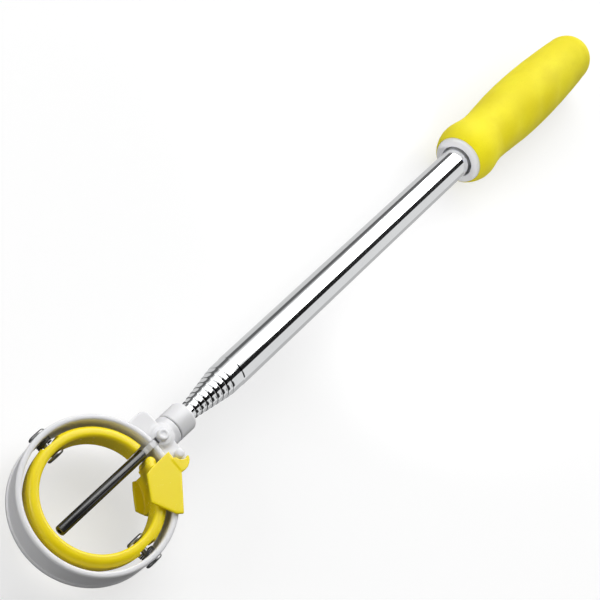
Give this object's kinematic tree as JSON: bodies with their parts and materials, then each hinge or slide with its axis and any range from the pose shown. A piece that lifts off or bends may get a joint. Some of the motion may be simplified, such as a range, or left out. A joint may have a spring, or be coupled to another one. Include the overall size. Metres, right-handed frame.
{
  "type": "golf ball retriever",
  "caption": "Telescopic golf-ball retriever: white ring head with a sprung flip-up yellow ring, trigger rod, chrome sliding pole and soft yellow grip.",
  "frame": {"origin": "under the middle of the bounding box, on the plane the grip rests on", "axes": "+X along the pole toward the grip, the head toward -X; +Z is the catch ring's upper side; +Y completes the right-handed set"},
  "size_m": [0.489, 0.0748, 0.0358],
  "materials": {
    "white_abs": "smooth gloss, faintly warm white",
    "yellow_abs": "smooth gloss moulding",
    "yellow_rubber": "soft matte skin, faint mottle",
    "chrome_tube": "polished, drawn lengthwise",
    "steel_pin": "satin turned steel",
    "spring_steel": "dark drawn wire",
    "black_rod": "dark gloss sleeve",
    "nylon": "natural matte moulding"
  },
  "bodies": {
    "handle": {"tube_1": "chrome_tube", "collar": "white_abs", "grip": "yellow_rubber", "grip_liner": "nylon", "tail_plug": "nylon"},
    "section_2": {"tube_2": "chrome_tube", "bush_2": "nylon"},
    "section_3": {"tube_3": "chrome_tube", "bush_3": "nylon"},
    "section_4": {"tube_4": "chrome_tube", "bush_4": "nylon"},
    "section_5": {"tube_5": "chrome_tube", "bush_5": "nylon"},
    "section_6": {"tube_6": "chrome_tube", "bush_6": "nylon"},
    "section_7": {"tube_7": "chrome_tube", "bush_7": "nylon"},
    "section_8": {"tube_8": "chrome_tube", "bush_8": "nylon"},
    "head": {"tube_9": "chrome_tube", "bush_9": "nylon", "socket_sleeve": "white_abs", "ring_frame": "white_abs", "hub_boss": "white_abs", "hook_post": "white_abs", "pivot_rivet_left": "steel_pin", "pivot_rivet_right": "steel_pin", "ring_spring_left": "spring_steel", "ring_spring_right": "spring_steel", "trigger_axle": "steel_pin", "trigger_spring": "steel_pin"},
    "catch_ring": {"inner_ring": "yellow_abs"},
    "trigger": {"trigger_arm": "white_abs", "trigger_sleeve": "black_rod", "trigger_core": "steel_pin"}
  },
  "joints": [
    {"name": "section_2_slide", "type": "slide", "parent": "handle", "child": "section_2", "axis": [-1, 0, 0], "range_m": [0, 0.28]},
    {"name": "section_3_slide", "type": "slide", "parent": "section_2", "child": "section_3", "axis": [-1, 0, 0], "range_m": [0, 0.28]},
    {"name": "section_4_slide", "type": "slide", "parent": "section_3", "child": "section_4", "axis": [-1, 0, 0], "range_m": [0, 0.28]},
    {"name": "section_5_slide", "type": "slide", "parent": "section_4", "child": "section_5", "axis": [-1, 0, 0], "range_m": [0, 0.28]},
    {"name": "section_6_slide", "type": "slide", "parent": "section_5", "child": "section_6", "axis": [-1, 0, 0], "range_m": [0, 0.28]},
    {"name": "section_7_slide", "type": "slide", "parent": "section_6", "child": "section_7", "axis": [-1, 0, 0], "range_m": [0, 0.28]},
    {"name": "section_8_slide", "type": "slide", "parent": "section_7", "child": "section_8", "axis": [-1, 0, 0], "range_m": [0, 0.28]},
    {"name": "section_9_slide", "type": "slide", "parent": "section_8", "child": "head", "axis": [-1, 0, 0], "range_m": [0, 0.28]},
    {"name": "catch_ring_flip", "type": "hinge", "parent": "head", "child": "catch_ring", "pos_m": [-0.2085, 0, 0.0199], "axis": [0, -1, 0], "range_deg": [0, 90], "stiffness_Nm_per_rad": 0.02, "springref_deg": -17.19},
    {"name": "trigger_swing", "type": "hinge", "parent": "head", "child": "trigger", "pos_m": [-0.1655, 0, 0.0229], "axis": [0, 1, 0], "range_deg": [0, 12], "stiffness_Nm_per_rad": 0.01, "springref_deg": -17.19}
  ]
}
